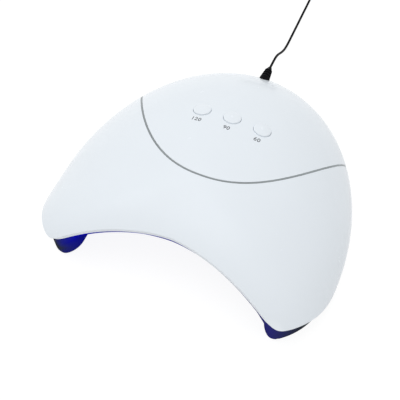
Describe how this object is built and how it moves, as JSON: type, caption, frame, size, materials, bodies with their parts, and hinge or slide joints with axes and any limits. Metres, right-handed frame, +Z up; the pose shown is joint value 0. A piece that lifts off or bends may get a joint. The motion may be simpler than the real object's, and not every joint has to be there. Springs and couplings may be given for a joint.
{
  "type": "uv nail lamp",
  "caption": "Arched white nail lamp on two feet, with a mirrored liner and diodes over the hand space, round push buttons on top and a thin lead at the back.",
  "frame": {"origin": "middle of the lamp's outline in plan, at the height of the table that it stands on, measured without the lead", "axes": "+Z up, +Y towards the back where the lead leaves, +X to the right when looking into the hand space from behind -Y"},
  "size_m": [0.17, 0.3004, 0.049],
  "materials": {
    "white_abs": "gloss",
    "button_white": "gloss",
    "seam_grey": "satin",
    "liner_mirror": "metallised",
    "frame_dark": "satin",
    "pad_rubber": "matte",
    "relief_black": "satin",
    "lead_black": "satin",
    "tie_black": "matte",
    "plug_metal": "satin",
    "tongue_white": "matte",
    "screw_steel": "satin",
    "board_green": "satin",
    "strip_board": "satin",
    "diode_lens": "clear",
    "switch_dark": "matte",
    "chip_black": "matte",
    "coil_ferrite": "matte",
    "capacitor_can": "satin",
    "clip_cream": "matte",
    "wire_red": "satin"
  },
  "bodies": {
    "housing": {"base_frame": "frame_dark", "reflector": "liner_mirror", "front_shell": "white_abs", "rear_cover": "white_abs", "seam_strip": "seam_grey", "switch_120": "switch_dark", "switch_90": "switch_dark", "switch_60": "switch_dark", "control_board": "board_green", "controller_chip": "chip_black", "driver_coil": "coil_ferrite", "capacitor": "capacitor_can", "lead_socket": "clip_cream", "strip_socket": "clip_cream", "strip_middle": "strip_board", "strip_left": "strip_board", "strip_right": "strip_board", "diodes_middle": "diode_lens", "diodes_left": "diode_lens", "diodes_right": "diode_lens", "wire_middle": "wire_red", "wire_left": "wire_red", "wire_right": "wire_red", "strip_screws": "screw_steel", "board_screws": "screw_steel", "case_screws": "screw_steel", "clamp_screws": "screw_steel", "lead_clamp": "clip_cream", "foot_front_left": "pad_rubber", "foot_front_right": "pad_rubber", "foot_back_left": "pad_rubber", "foot_back_right": "pad_rubber", "strain_relief": "relief_black", "inner_lead": "lead_black", "lead": "lead_black", "lead_coil": "lead_black", "lead_tie": "tie_black", "lead_tail": "lead_black", "plug_grip": "lead_black", "plug_shell": "plug_metal", "plug_tongue": "tongue_white"},
    "push_120": {"button_120": "button_white", "plunger_120": "switch_dark"},
    "push_90": {"button_90": "button_white", "plunger_90": "switch_dark"},
    "push_60": {"button_60": "button_white", "plunger_60": "switch_dark"}
  },
  "joints": [
    {"name": "press_120", "type": "slide", "parent": "housing", "child": "push_120", "axis": [0, -0.2334, -0.9724], "range_m": [0, 0.0006], "stiffness_N_per_m": 400},
    {"name": "press_90", "type": "slide", "parent": "housing", "child": "push_90", "axis": [0, -0.2334, -0.9724], "range_m": [0, 0.0006], "stiffness_N_per_m": 400},
    {"name": "press_60", "type": "slide", "parent": "housing", "child": "push_60", "axis": [0, -0.2334, -0.9724], "range_m": [0, 0.0006], "stiffness_N_per_m": 400}
  ]
}
